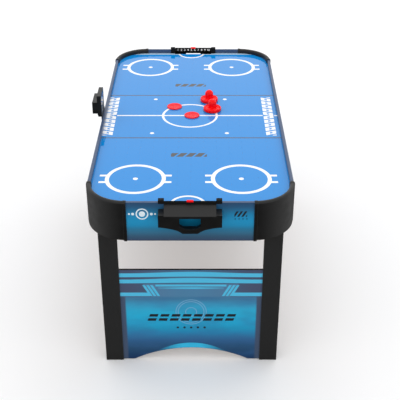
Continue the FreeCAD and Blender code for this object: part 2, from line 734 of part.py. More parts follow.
def blower_screws():
    top = chamber_base() - BOARD_T
    return [
        screw(V(x, y, top - 3), Z_AXIS, 6.0, 2.0, 4.0, 2.2) for x, y in fan_flange_spots(FAN_R + 9)
    ]


# ---------------------------------------------------------------- switch and inlet


def service_holes():
    x = HALF_W - WALL - 1
    window = box(x, HALF_W + 1, SWITCH_Y - 7.6, SWITCH_Y + 7.6, SERVICE_Z - 10.4, SERVICE_Z + 10.4)
    return [window, cylinder(5.6, V(x, INLET_Y, SERVICE_Z), X_AXIS, WALL + 2)]


def switch_frame():
    body = box(284, HALF_W, SWITCH_Y - 7.4, SWITCH_Y + 7.4, SERVICE_Z - 10.2, SERVICE_Z + 10.2)
    flange = box(
        HALF_W, HALF_W + 2, SWITCH_Y - 9.5, SWITCH_Y + 9.5, SERVICE_Z - 12.5, SERVICE_Z + 12.5
    )
    front = [e for e in flange.Edges if e.CenterOfMass.x > HALF_W + 1.9]
    flange = flange.makeFillet(0.9, front)
    well = box(286, 303, SWITCH_Y - 5.7, SWITCH_Y + 5.7, SERVICE_Z - 8.6, SERVICE_Z + 8.6)
    pivot = cylinder(1.57, V(ROCKER_X, SWITCH_Y - 7.0, SERVICE_Z), Y_AXIS, 14.0)
    return cut(fused([body, flange]), [well, pivot])


def power_rocker():
    """Rocker drawn level about its pivot, then tipped to its off position."""
    slope = math.tan(math.radians(ROCKER_TILT))
    r = ROCKER_R
    front = [(-3.0, -r), (4.5 + r * slope, -r), (4.5, 0), (4.5 + r * slope, r), (-3.0, r)]
    width = 10.6
    block = extruded([V(x, -width / 2, z) for x, z in front], V(0, width, 0))
    block = block.common(cylinder(r, V(0, -width / 2, 0), Y_AXIS, width))
    pin = cylinder(1.5, V(0, -6.8, 0), Y_AXIS, 13.6)
    rocker = fused([block, pin])
    rocker.rotate(ORIGIN, Y_AXIS, -ROCKER_TILT)
    rocker.translate(V(ROCKER_X, SWITCH_Y, SERVICE_Z))
    return rocker


def power_inlet():
    start = V(282, INLET_Y, SERVICE_Z)
    barrel = cylinder(5.5, start, X_AXIS, HALF_W - 282)
    flange = cylinder(7.5, V(HALF_W, INLET_Y, SERVICE_Z), X_AXIS, 1.5)
    socket = cylinder(2.9, V(291, INLET_Y, SERVICE_Z), X_AXIS, 20)
    pin = cylinder(1.0, V(290, INLET_Y, SERVICE_Z), X_AXIS, 9.5)
    return fused([cut(fused([barrel, flange]), [socket]), pin])


# ---------------------------------------------------------------- files


def export(name, shape):
    """Writes one node. A list of solids becomes a group in the same file."""
    solids = shape if isinstance(shape, list) else [shape]
    solids = [solid for item in solids for solid in item.Solids]
    moved = [solid.copy() for solid in solids]
    for solid in moved:
        solid.translate(V(TABLE_X, 0, 0))
        if not solid.isValid() or solid.Volume <= 0:
            print("not a sound solid:", name)
    whole = moved[0] if len(moved) == 1 else Part.makeCompound(moved)
    whole.exportStep(os.path.join("parts", name + ".step"))
    print(f"{name:22s} {len(moved):3d} solids {sum(s.Volume for s in moved) / 1000:10.2f} cm3")


def cabinet_nodes():
    nodes = {
        "playfield": playfield(),
        "bottom_board": bottom_board(),
        "side_battens": side_battens(),
        "end_battens": end_battens(),
        "cross_battens": cross_battens(),
        "left_apron": side_apron(-1),
        "right_apron": side_apron(1),
        "near_apron": end_apron(),
        "far_apron": turned(end_apron()),
    }
    for corner, shape in four_ways(corner_core()).items():
        nodes[corner + "_corner_core"] = shape
    for corner, shape in four_ways(corner_cover()).items():
        nodes[corner + "_corner_cover"] = shape
    return nodes


def leg_nodes():
    nodes = {corner + "_leg": shape for corner, shape in four_ways(leg()).items()}
    nodes["leg_plates"] = list(four_ways(leg_plate()).values())
    nodes["leg_bolts"] = leg_bolts()
    nodes["foot_glides"] = foot_glides()
    nodes["near_end_panel"] = end_panel()
    nodes["far_end_panel"] = turned(end_panel())
    nodes["panel_brackets"] = panel_brackets()
    nodes["panel_screws"] = panel_screws()
    return nodes


def goal_nodes():
    return {
        "near_goal_box": goal_box(),
        "far_goal_box": turned(goal_box()),
        "goal_box_screws": goal_box_screws(),
        "near_score_rail": score_rail(),
        "far_score_rail": turned(score_rail()),
        "near_score_slider": slider(),
        "far_score_slider": turned(slider()),
    }


def loose_nodes():
    nodes = {name: mallet(x, y) for name, (x, y) in MALLETS.items()}
    for name, (x, y) in MALLETS.items():
        nodes[name + "_felt"] = felt(x, y)
    for name, (x, y) in PUCKS.items():
        nodes[name] = puck(x, y)
    return nodes


def counter_nodes():
    return {
        "counter_case": counter_case(),
        "counter_back": counter_back(),
        "counter_window": counter_window(),
        "counter_board": counter_board(),
        "counter_bracket": counter_bracket(),
        "counter_screws": counter_screws(),
        "near_score_button": counter_button(BUTTON_Y[0]),
        "far_score_button": counter_button(BUTTON_Y[1]),
        "battery_door": battery_door(),
        "batteries": batteries(),
    }


def service_nodes():
    return {
        "blower_housing": blower_housing(),
        "blower_motor": blower_motor(),
        "motor_shaft": motor_shaft(),
        "impeller": impeller(),
        "blower_grille": blower_grille(),
        "blower_screws": blower_screws(),
        "switch_frame": switch_frame(),
        "power_rocker": power_rocker(),
        "power_inlet": power_inlet(),
    }


os.makedirs("parts", exist_ok=True)
for group in (cabinet_nodes, leg_nodes, goal_nodes, loose_nodes, counter_nodes, service_nodes):
    for node, solid in group().items():
        export(node, solid)
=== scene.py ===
"""Looks of a four-foot air hockey table, around its CAD frame, laid out as an add-on."""

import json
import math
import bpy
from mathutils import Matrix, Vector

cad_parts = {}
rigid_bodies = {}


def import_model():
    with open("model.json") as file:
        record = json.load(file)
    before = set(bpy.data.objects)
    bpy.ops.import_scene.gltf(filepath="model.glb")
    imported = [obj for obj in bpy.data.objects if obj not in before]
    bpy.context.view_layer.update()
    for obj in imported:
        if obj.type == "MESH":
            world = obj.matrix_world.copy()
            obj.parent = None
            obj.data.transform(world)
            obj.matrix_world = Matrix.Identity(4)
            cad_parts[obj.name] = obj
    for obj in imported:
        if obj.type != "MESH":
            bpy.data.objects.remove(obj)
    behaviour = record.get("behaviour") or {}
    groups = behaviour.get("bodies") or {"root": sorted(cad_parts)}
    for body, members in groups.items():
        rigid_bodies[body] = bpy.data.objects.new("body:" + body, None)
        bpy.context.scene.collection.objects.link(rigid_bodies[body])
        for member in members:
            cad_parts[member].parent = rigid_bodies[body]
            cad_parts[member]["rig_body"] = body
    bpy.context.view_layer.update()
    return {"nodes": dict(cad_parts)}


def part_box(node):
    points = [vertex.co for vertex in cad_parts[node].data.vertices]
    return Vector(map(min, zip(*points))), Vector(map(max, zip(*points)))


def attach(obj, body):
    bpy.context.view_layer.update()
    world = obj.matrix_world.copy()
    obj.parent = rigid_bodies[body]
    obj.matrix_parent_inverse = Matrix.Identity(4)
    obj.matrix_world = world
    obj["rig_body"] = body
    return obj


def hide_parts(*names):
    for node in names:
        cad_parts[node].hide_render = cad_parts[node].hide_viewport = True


bl_info = {
    "name": "Air Hockey Table",
    "version": (1, 0, 0),
    "blender": (4, 5, 0),
    "location": "View3D > Sidebar > Air hockey",
    "description": "Prints, mouldings and small pieces of a four-foot air hockey table",
    "category": "Add Mesh",
}

import bmesh
import bpy
from bpy.props import FloatProperty, FloatVectorProperty, PointerProperty
from mathutils import Matrix, Vector

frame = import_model()

NODES = frame["nodes"]
CORNERS = ("far_right", "far_left", "near_right", "near_left")
ENDS = {"near": -1, "far": 1}
SIDES = {"left": -1, "right": 1}
MM = 0.001


def linear(code):
    """Scene-linear red, green and blue of an sRGB hex value."""
    channels = [int(code[i : i + 2], 16) / 255 for i in (1, 3, 5)]
    return [c / 12.92 if c <= 0.04045 else ((c + 0.055) / 1.055) ** 2.4 for c in channels]


# The table's own centre plane, which the counter on the left side keeps off x = 0.
MID_X = (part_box("left_apron")[0].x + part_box("right_apron")[1].x) / 2
HALF_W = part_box("right_apron")[1].x - MID_X
HALF_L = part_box("far_apron")[1].y
RAIL_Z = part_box("near_apron")[1].z
# Prints reach this far into a board, so that they cover its rounded edge too.
PRINT_DEPTH = 0.0004
SKIRT_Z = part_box("near_apron")[0].z
PLAY_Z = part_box("playfield")[1].z
PANEL_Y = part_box("far_end_panel")[1].y
PANEL_LOW, PANEL_TOP = (corner.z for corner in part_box("near_end_panel"))
# Slanted stripes of the end panels: minus the metres that they lean out for each metre
# up, and where the first one's middle would meet the floor.
SLANT, SLANT_START = -0.54, -0.0141


def length(label, note, value):
    """A length in metres that a user can change."""
    return FloatProperty(
        name=label, description=note, default=value, unit="LENGTH", precision=4
    )


def colour(label, note, code):
    """A colour that a user can change, from its hex value."""
    return FloatVectorProperty(
        name=label, description=note, default=linear(code), subtype="COLOR", min=0, max=1
    )


class FieldSizes(bpy.types.PropertyGroup):
    """Where the rink's lines are printed, measured from the middle of the table."""

    ring_x: length("Ring X", "From the middle to a corner ring's centre", 0.1566)
    ring_y: length("Ring Y", "From the middle to a corner ring's centre", 0.447)
    ring_radius: length("Ring radius", "Middle of a corner ring's line", 0.084)
    ring_line: length("Ring line", "Width of a corner ring's line", 0.012)
    ring_spot: length("Ring spot", "Radius of the spot in a corner ring", 0.0075)
    tick_reach: length("Tick reach", "From a ring's centre to the end of its ticks", 0.107)
    tick_gap: length("Tick gap", "From a ring's centre to a tick, along the table", 0.020)
    tick_line: length("Tick line", "Width of a tick", 0.0108)
    centre_line: length("Centre line", "Width of the line across the middle", 0.0076)
    centre_radius: length("Centre radius", "Middle of the centre circle's line", 0.0915)
    fine_line: length("Fine line", "Width of the centre circle and the goal arcs", 0.0078)
    zone_line: length("Zone line width", "Width of the two zone lines", 0.0056)
    zone_y: length("Zone line", "From the middle to a zone line", 0.1727)
    spot_x: length("Spot X", "From the middle to a small spot", 0.1225)
    spot_y: length("Spot Y", "From the middle to a small spot", 0.138)
    spot_radius: length("Spot radius", "Radius of a small spot", 0.0068)
    crease_radius: length("Crease radius", "Middle of the arc in front of a goal", 0.0485)
    side_x: length("Side bars", "From the middle to the bars along each side", 0.2675)
    badge_y: length("Badge", "From the middle to the dark bars in each half", 0.280)
    badge_shift: length("Badge shift", "How far both badges sit towards the near goal", 0.013)
    print_shift: length("Print shift", "How far the print sits to the left", 0.0068)


class PrintColours(bpy.types.PropertyGroup):
    """Inks of the field, the aprons and the end panels."""

    field: colour("Field", "Rink blue", "#0088D8")
    line: colour("Line", "White ink", "#F6F8FA")
    dark_line: colour("Zone line", "Grey ink", "#44484D")
    navy: colour("Navy", "Plain foil of the rails", "#33486A")
    stripe: colour("Stripe", "Light stripes of the end panels", "#45B4DA")
    letter: colour("Dark ink", "Dark marks on the foil", "#20252C")


class MouldingColours(bpy.types.PropertyGroup):
    """Colours of the moulded and bought pieces."""

    black: colour("Black", "Moulded black plastic", "#121212")
    leg: colour("Leg", "Black foil of the legs", "#232323")
    red: colour("Red", "Mallets and markers", "#FF0008")
    puck: colour("Puck", "Pucks, a little lighter than the mallets", "#FF1C2C")
    lit: colour("Digits", "Lit segments of the counter", "#FF2A3C")


class MouldingSizes(bpy.types.PropertyGroup):
    """Small sizes of the finished pieces."""

    foil_edge: length("Foil edge", "Rounding of the foil-covered boards", 0.0008)
    moulded_edge: length("Moulded edge", "Rounding of the black mouldings", 0.0005)
    small_edge: length("Small edge", "Rounding of the small pieces", 0.0004)
    number_height: length("Number height", "Height of the numbers over a goal", 0.0088)
    number_pitch: length("Number pitch", "From one number to the next", 0.0135)
    digit_height: length("Digit height", "Height of a lit digit", 0.022)


class TableSettings(bpy.types.PropertyGroup):
    """All that a user would change."""

    field: PointerProperty(type=FieldSizes)
    inks: PointerProperty(type=PrintColours)
    plastics: PointerProperty(type=MouldingColours)
    sizes: PointerProperty(type=MouldingSizes)


def settings():
    return bpy.context.scene.air_hockey


# ---------------------------------------------------------------- materials


def node(tree, kind, links=None, **own):
    """Adds one shader node. own: its properties. links: sockets or values for its inputs."""
    made = tree.nodes.new("ShaderNode" + kind)
    for name, value in own.items():
        setattr(made, name, value)
    for name, value in (links or {}).items():
        if isinstance(value, bpy.types.NodeSocket):
            tree.links.new(value, made.inputs[name])
        else:
            made.inputs[name].default_value = value
    return made


def new_material(name, **shader_values):
    """A material with one Principled shader whose named inputs are set."""
    material = bpy.data.materials.new(name)
    material.use_nodes = True
    tree = material.node_tree
    shader = tree.nodes["Principled BSDF"]
    for key, value in shader_values.items():
        socket = shader.inputs[key.replace("_", " ")]
        socket.default_value = (*value, 1) if socket.type == "RGBA" else value
    return material, tree, shader


def place(tree, centre=(0, 0, 0), scale=(1, 1, 1)):
    """Object coordinates measured from a centre, in metres, times a scale."""
    where = [-c * s for c, s in zip(centre, scale)]
    source = node(tree, "TexCoord").outputs["Object"]
    links = {"Vector": source, "Location": where, "Scale": scale}
    return node(tree, "Mapping", links).outputs["Vector"]


def paint(tree, under, ink, mask):
    """One ink over another where the mask is 1."""
    ink = ink if isinstance(ink, bpy.types.NodeSocket) else (*ink, 1)
    under = under if isinstance(under, bpy.types.NodeSocket) else (*under, 1)
    links = {0: mask, 6: under, 7: ink}
    return node(tree, "Mix", links, data_type="RGBA").outputs[2]


def within(tree, value, middle, half):
    """1 where a value lies within half of the middle, else 0."""
    return node(tree, "Math", {0: value, 1: middle, 2: half}, operation="COMPARE").outputs[0]


def joined(tree, masks, operation="MAXIMUM"):
    """Several masks as one: MAXIMUM for any of them, MULTIPLY for all of them."""
    result = masks[0]
    for mask in masks[1:]:
        result = node(tree, "Math", {0: result, 1: mask}, operation=operation).outputs[0]
    return result


def line_round(tree, point, centre, radius, half):
    """A ring round a centre, or a disc where the radius is 0."""
    links = {0: point, 1: (*centre, 0)}
    distance = node(tree, "VectorMath", links, operation="DISTANCE").outputs["Value"]
    return within(tree, distance, radius, half)


def bar(tree, across, along, middle, half):
    """A straight bar: both coordinates within half of the middle."""
    masks = [within(tree, v, m, h) for v, m, h in zip((across, along), middle, half)]
    return joined(tree, masks, "MULTIPLY")


def slanted_blocks(tree, along, across, pitch, share, lean):
    """Leaning blocks that repeat along a line. share is how much of each pitch is inked."""
    links = {0: across, 1: lean, 2: along}
    leaning = node(tree, "Math", links, operation="MULTIPLY_ADD").outputs[0]
    count = node(tree, "Math", {0: leaning, 1: 1 / pitch}, operation="MULTIPLY").outputs[0]
    part = node(tree, "Math", {0: count}, operation="FRACT").outputs[0]
    return within(tree, part, 0.5, share / 2)


def gradient(tree, value, low, high, stops):
    """Colour along a value from low to high. stops are (share, hex)."""
    links = {"Value": value, "From Min": low, "From Max": high}
    share = node(tree, "MapRange", links).outputs["Result"]
    made = node(tree, "ValToRGB", {"Fac": share})
    made.color_ramp.interpolation = "LINEAR"
    for number, (at, code) in enumerate(stops):
        elements = made.color_ramp.elements
        element = elements[number] if number < 2 else elements.new(at)
        element.position = at
        element.color = (*linear(code), 1)
    return made.outputs["Color"]


def grain_bump(tree, shader, vector, per_metre, height, detail=2.0):
    """A fine uneven surface: grains per metre and their height in metres."""
    links = {"Vector": vector, "Scale": per_metre, "Detail": detail}
    noise = node(tree, "TexNoise", links).outputs["Fac"]
    bump = node(tree, "Bump", {"Height": noise, "Strength": 1.0, "Distance": height})
    tree.links.new(bump.outputs["Normal"], shader.inputs["Normal"])
    return noise


def varied_roughness(tree, shader, vector, per_metre, low, high):
    """Roughness that drifts between two values over the surface."""
    links = {"Vector": vector, "Scale": per_metre, "Detail": 3.0}
    noise = node(tree, "TexNoise", links).outputs["Fac"]
    links = {"Value": noise, "From Min": 0.35, "From Max": 0.65, "To Min": low, "To Max": high}
    spread = node(tree, "MapRange", links).outputs["Result"]
    tree.links.new(spread, shader.inputs["Roughness"])


def field_laminate():
    """Melamine laminate, printed and pressed: a mirror-smooth gloss film over flat inks."""
    size, inks = settings().field, settings().inks
    material, tree, shader = new_material("Field laminate", Roughness=0.05, IOR=1.5)
    whole = place(tree)
    flat = place(tree, (MID_X - size.print_shift, 0, 0), (1, 1, 0))
    # All but the dark bars is the same in each quarter, so it is drawn once and folded.
    folded = node(tree, "VectorMath", {0: flat}, operation="ABSOLUTE").outputs[0]
    axes = node(tree, "SeparateXYZ", {0: folded})
    x, y = axes.outputs["X"], axes.outputs["Y"]
    white = field_lines(tree, folded, x, y, size)
    white.append(side_strips(tree, x, y, size))

    fine = size.fine_line / 2
    goal_centre = (0, HALF_L - 0.012)
    white.append(line_round(tree, folded, goal_centre, size.crease_radius, fine))
    inside = line_round(tree, folded, goal_centre, 0, size.crease_radius)
    outside = node(tree, "Math", {0: 1.0, 1: inside}, operation="SUBTRACT").outputs[0]
    # A pale band across each end of the field, just in front of the goal wall and outside the
    # goal arc.
    end_band = bar(tree, x, y, (0, HALF_L - 0.0180), (HALF_W, 0.0090))
    end_band = joined(tree, [end_band, outside], "MULTIPLY")

    zone = bar(tree, x, y, (0, size.zone_y), (HALF_W, size.zone_line / 2))
    dark = [zone, dark_bars(tree, whole, flat, x, size)]
    print_now = paint(tree, inks.field, linear("#AEC8DE"), end_band)
    print_now = paint(tree, print_now, inks.dark_line, joined(tree, dark))
    print_now = paint(tree, print_now, inks.line, joined(tree, white))
    height = node(tree, "SeparateXYZ", {0: whole}).outputs["Z"]
    links = {0: height, 1: PLAY_Z - PRINT_DEPTH}
    on_top = node(tree, "Math", links, operation="GREATER_THAN").outputs[0]
    print_now = paint(tree, linear("#A8845C"), print_now, on_top)
    tree.links.new(print_now, shader.inputs["Base Color"])
    # The pressed film waves a hundredth of a millimetre over about 17 mm.
    grain_bump(tree, shader, whole, 60, 0.00001)
    return material


def field_lines(tree, folded, x, y, size):
    """Rings with their ticks, the centre circle, the spots and the centre line, as masks."""
    ring = (size.ring_x, size.ring_y)
    centre_half = size.centre_line / 2
    strip_gap, stub_middle, stub_half = 0.019, 0.029, 0.0095
    white = [
        line_round(tree, folded, ring, size.ring_radius, size.ring_line / 2),
        line_round(tree, folded, ring, 0, size.ring_spot),
        line_round(tree, folded, (0, 0), size.centre_radius, size.fine_line / 2),
        line_round(tree, folded, (size.spot_x, size.spot_y), 0, size.spot_radius),
        bar(tree, x, y, (0, 0), (size.side_x - strip_gap, centre_half)),
        bar(tree, x, y, (size.side_x + stub_middle, 0), (stub_half, centre_half)),
    ]
    tick_half = (size.tick_reach - size.ring_radius) / 2
    for side in (-1, 1):
        for end in (-1, 1):
            middle = (
                size.ring_x + side * (size.ring_radius + tick_half),
                size.ring_y + end * size.tick_gap,
            )
            white.append(bar(tree, x, y, middle, (tick_half, size.tick_line / 2)))
    return white


def side_strips(tree, x, y, size):
    """A row of plain leaning frames along each side, in place of lettering."""
    pitch, share, lean = 0.0305, 0.78, 0.35
    stroke_shift, stroke_half = 0.0105, 0.0062
    strip_half = (0.0167, 0.155)
    blocks = slanted_blocks(tree, y, x, pitch, share, lean)
    shifts = (-stroke_shift, stroke_shift)
    strokes = [within(tree, x, size.side_x + shift, stroke_half) for shift in shifts]
    posts = slanted_blocks(tree, y, x, pitch / 2, 0.36, lean)
    strip = bar(tree, x, y, (size.side_x, 0), strip_half)
    return joined(tree, [joined(tree, [*strokes, posts]), blocks, strip], "MULTIPLY")


def dark_bars(tree, whole, flat, x, size):
    """Four leaning blocks in each half, in place of lettering."""
    pitch, share, lean = 0.028, 0.74, -0.6
    row_half = (0.056, 0.0125)
    along = node(tree, "SeparateXYZ", {0: whole}).outputs["Y"]
    along = node(tree, "Math", {0: along, 1: size.badge_shift}, operation="ADD").outputs[0]
    along = node(tree, "Math", {0: along}, operation="ABSOLUTE").outputs[0]
    row = bar(tree, x, along, (0, size.badge_y), row_half)
    axes = node(tree, "SeparateXYZ", {0: flat})
    blocks = slanted_blocks(tree, axes.outputs["X"], axes.outputs["Y"], pitch, share, lean)
    return joined(tree, [row, blocks], "MULTIPLY")


def end_print(tree, centre):
    """Coordinates across an end face, as seen from outside, and up."""
    whole = node(tree, "SeparateXYZ", {0: place(tree, (centre, 0, 0))})
    turn = node(tree, "Math", {0: whole.outputs["Y"]}, operation="SIGN").outputs[0]
    turn = node(tree, "Math", {0: turn, 1: -1.0}, operation="MULTIPLY").outputs[0]
    links = {0: whole.outputs["X"], 1: turn}
    across = node(tree, "Math", links, operation="MULTIPLY").outputs[0]
    return whole, across, whole.outputs["Z"]


def end_badge(tree, up, centre):
    """A plain badge, as a mask: a disc in a ring with two dots at each side."""
    white = [
        line_round(tree, up, centre, 0.01612, 0.00182),
        line_round(tree, up, centre, 0, 0.00884),
    ]
    for side in (-1, 1):
        for off, radius in ((0.0262, 0.0042), (0.0366, 0.0030)):
            dot = (centre[0] + side * off, centre[1])
            white.append(line_round(tree, up, dot, 0, radius))
    return joined(tree, white)


def end_dashes(tree, across, height, centre):
    """Three leaning dashes over a row of dots, as a mask."""
    dashes = bar(tree, across, height, centre, (0.018, 0.009))
    leaning = slanted_blocks(tree, across, height, 0.012, 0.55, -0.6)
    row = bar(tree, across, height, (centre[0], centre[1] - 0.016), (0.022, 0.0018))
    dots = slanted_blocks(tree, across, height, 0.011, 0.3, 0.0)
    pairs = ((dashes, leaning), (row, dots))
    return joined(tree, [joined(tree, pair, "MULTIPLY") for pair in pairs])


def apron_foil(ends=False):
    """Printed foil on fibreboard: a satin film, navy at the edges and teal in the middle."""
    inks = settings().inks
    name = "Apron foil, ends" if ends else "Apron foil, sides"
    material, tree, shader = new_material(name, Roughness=0.32, IOR=1.5)
    whole, across, height = end_print(tree, MID_X)
    stops = [(0.032, "#314763"), (0.127, "#2E5672"), (0.222, "#2A6787"), (0.317, "#1B7095")]
    stops += [(0.413, "#0082B1"), (0.508, "#0088B7"), (0.603, "#0084B5"), (0.698, "#007BA9")]
    stops += [(0.794, "#156791"), (0.889, "#1F5379"), (0.992, "#23466A")]
    blend = gradient(tree, height, SKIRT_Z, RAIL_Z, stops)
    if ends:
        up = node(tree, "CombineXYZ", {0: across, 1: height}).outputs[0]
        mark_z = 0.583
        badge = end_badge(tree, up, (-0.135, mark_z))
        blend = paint(tree, blend, linear("#D7E3EA"), badge)
        dashes = end_dashes(tree, across, height, (0.142, mark_z))
        blend = paint(tree, blend, inks.letter, dashes)
    folded = node(tree, "VectorMath", {0: place(tree, (MID_X, 0, 0))}, operation="ABSOLUTE")
    axes = node(tree, "SeparateXYZ", {0: folded.outputs[0]})
    outer = []
    for axis, edge in (("X", HALF_W), ("Y", HALF_L)):
        links = {0: axes.outputs[axis], 1: edge - PRINT_DEPTH}
        outer.append(node(tree, "Math", links, operation="GREATER_THAN").outputs[0])
    result = paint(tree, inks.navy, blend, joined(tree, outer))
    tree.links.new(result, shader.inputs["Base Color"])
    # Orange peel of the film, about 1.1 mm from crest to crest.
    grain_bump(tree, shader, place(tree), 900, 0.000012)
    return material


def panel_foil():
    """Printed foil on fibreboard, with the stripes, bars and arc of the end panels."""
    inks = settings().inks
    material, tree, shader = new_material("End panel foil", Roughness=0.38, IOR=1.5)
    whole, across, height = end_print(tree, MID_X)
    side = node(tree, "Math", {0: across}, operation="ABSOLUTE").outputs[0]
    up = node(tree, "CombineXYZ", {0: across, 1: height}).outputs[0]
    links = {"Value": side, "From Min": 0.2, "From Max": 0.0}
    # 1 in the middle of the panel, 0 at its sides.
    spread = node(tree, "MapRange", links, interpolation_type="SMOOTHSTEP").outputs["Result"]
    print_now = panel_ground(tree, side, height, spread)
    stripes = panel_stripes(tree, side, height, spread)
    print_now = paint(tree, print_now, inks.stripe, stripes)
    motif = [
        line_round(tree, up, (0, 0.190), radius, 0.0011) for radius in (0.047, 0.040, 0.017)
    ]
    print_now = paint(tree, print_now, linear("#6FA3C8"), joined(tree, motif))
    print_now = paint(tree, print_now, inks.letter, panel_marks(tree, across, height, up))
    arc = panel_arc(tree, side, up)
    print_now = paint(tree, print_now, linear("#28B4DE"), arc)
    depth = node(tree, "Math", {0: whole.outputs["Y"]}, operation="ABSOLUTE").outputs[0]
    links = {0: depth, 1: PANEL_Y - PRINT_DEPTH}
    outside = node(tree, "Math", links, operation="GREATER_THAN").outputs[0]
    result = paint(tree, linear("#1B1D22"), print_now, outside)
    tree.links.new(result, shader.inputs["Base Color"])
    # Orange peel of the film, about 1.1 mm from crest to crest.
    grain_bump(tree, shader, place(tree), 900, 0.000012)
    return material


def panel_ground(tree, side, height, spread):
    """The print behind the stripes: a cloudy blend with a border and a navy upper part."""
    stops = [(0.003, "#0C335E"), (0.125, "#1F4B71"), (0.171, "#21527C"), (0.217, "#265C8C")]
    stops += [(0.264, "#236F9E"), (0.310, "#1780B0"), (0.357, "#0092BB"), (0.403, "#009CC8")]
    stops += [(0.470, "#00A5CE"), (0.542, "#12A5CC"), (0.588, "#239DC5"), (0.635, "#2D91B9")]
    stops += [(0.687, "#38789C")]
    ground = gradient(tree, height, PANEL_LOW, PANEL_TOP, stops)
    # Clouds of about 110 mm across and 40 mm high.
    links = {"Vector": place(tree, scale=(1, 1, 2.6)), "Scale": 9.0, "Detail": 3.0}
    cloud = node(tree, "TexNoise", links).outputs["Fac"]
    links = {"Value": cloud, "From Min": 0.42, "From Max": 0.72, "To Max": 0.42}
    cloud = node(tree, "MapRange", links).outputs["Result"]
    ground = paint(tree, ground, linear("#2E5F93"), cloud)
    links = {"Value": side, "From Min": 0.199, "From Max": 0.204}
    border = node(tree, "MapRange", links).outputs["Result"]
    ground = paint(tree, ground, linear("#40506A"), border)
    links = {"Value": height, "From Min": 0.246, "From Max": 0.252}
    upper = node(tree, "MapRange", links).outputs["Result"]
    ground = paint(tree, ground, linear("#4D7094"), upper)
    above = node(tree, "Math", {0: height, 1: 0.297}, operation="GREATER_THAN").outputs[0]
    links = {0: slanted_edge(tree, side, height), 1: SLANT_START}
    beyond = node(tree, "Math", links, operation="GREATER_THAN").outputs[0]
    navy = joined(tree, [joined(tree, [above, beyond]), upper], "MULTIPLY")
    ground = paint(tree, ground, linear("#434F6C"), navy)
    glow = joined(tree, [spread, upper], "MULTIPLY")
    glow = node(tree, "Math", {0: glow, 1: 0.55}, operation="MULTIPLY").outputs[0]
    return paint(tree, ground, linear("#3B82A8"), glow)


def slanted_edge(tree, side, height):
    """Distance along the slant of the stripes, the same at both sides."""
    links = {0: height, 1: SLANT, 2: side}
    return node(tree, "Math", links, operation="MULTIPLY_ADD").outputs[0]


def panel_stripes(tree, side, height, spread):
    """The light stripes, as a mask: two bowed, two straight bars and three slanted a side."""
    links = {0: spread, 1: -0.004, 2: height}
    bowed = node(tree, "Math", links, operation="MULTIPLY_ADD").outputs[0]
    links = {0: spread, 1: 0.0015, 2: 0.0070}
    bowed_half = node(tree, "Math", links, operation="MULTIPLY_ADD").outputs[0]
    light = [within(tree, bowed, middle, bowed_half) for middle in (0.3291, 0.3063)]
    light.append(bar(tree, side, height, (0, 0.291), (0.108, 0.0034)))
    light.append(bar(tree, side, height, (0.1715, 0.2578), (0.0455, 0.0067)))
    rows = within(tree, height, 0.272, 0.0205)
    slant = slanted_edge(tree, side, height)
    pitch, half = 0.0116, 0.0041
    for number in range(3):
        edge = within(tree, slant, SLANT_START - pitch * number, half)
        light.append(joined(tree, [edge, rows], "MULTIPLY"))
    fading = bar(tree, side, height, (0, 0.2814), (0.1, 0.0030))
    light.append(joined(tree, [fading, spread, spread], "MULTIPLY"))
    return joined(tree, light)


def panel_marks(tree, across, height, up):
    """A row of slit leaning blocks over a row of dots, as a mask, in place of lettering."""
    row_z, row_half, dots_z = 0.1688, 0.0132, 0.1293
    row = bar(tree, across, height, (0.002, row_z), (0.138, row_half))
    along = node(tree, "Math", {0: across, 1: 0.136}, operation="ADD").outputs[0]
    above = node(tree, "Math", {0: height, 1: row_z}, operation="SUBTRACT").outputs[0]
    blocks = slanted_blocks(tree, along, above, 0.0345, 0.76, -0.35)
    slit = within(tree, height, row_z, 0.0032)
    unslit = node(tree, "Math", {0: 1.0, 1: slit}, operation="SUBTRACT").outputs[0]
    marks = [joined(tree, [row, blocks, unslit], "MULTIPLY")]
    marks += [line_round(tree, up, (0.021 * n, dots_z), 0, 0.0038) for n in range(-2, 3)]
    return joined(tree, marks)


def panel_arc(tree, side, up):
    """The light band over the arch, as a mask: it thins and fades away from the middle."""
    reach, rise = 0.18, 0.045
    radius = (reach**2 + rise**2) / (2 * rise)
    squared = node(tree, "Math", {0: side, 1: side}, operation="MULTIPLY").outputs[0]
    links = {0: squared, 1: -0.75, 2: 0.0095}
    taper = node(tree, "Math", links, operation="MULTIPLY_ADD").outputs[0]
    rim = node(tree, "Math", {0: taper, 1: radius + 0.0008}, operation="ADD").outputs[0]
    band = line_round(tree, up, (0, PANEL_LOW + rise - radius), rim, taper)
    links = {"Value": side, "From Min": 0.125, "From Max": 0.02}
    fade = node(tree, "MapRange", links, interpolation_type="SMOOTHSTEP").outputs["Result"]
    return joined(tree, [band, fade], "MULTIPLY")


def black_foil():
    """Embossed black foil on fibreboard: satin, with a faint upright grain 1.4 mm wide."""
    material, tree, shader = new_material("Black leg foil", Roughness=0.42, IOR=1.5)
    grain = place(tree, scale=(1, 1, 0.08))
    noise = grain_bump(tree, shader, grain, 700, 0.00003)
    base = settings().plastics.leg
    result = paint(tree, [c * 0.8 for c in base], [c * 1.25 for c in base], noise)
    tree.links.new(result, shader.inputs["Base Color"])
    return material


def moulded_black(name="Moulded black ABS", roughness=(0.34, 0.46), refraction=1.42):
    """ABS from a spark-eroded tool: satin black with a fine even texture."""
    base = settings().plastics.black
    material, tree, shader = new_material(name, Base_Color=base, IOR=refraction)
    # The tool's texture is about 0.1 mm, too fine to show, and is drawn at 1.2 mm.
    grain_bump(tree, shader, place(tree), 830, 0.00002)
    varied_roughness(tree, shader, place(tree), 45, *roughness)
    return material


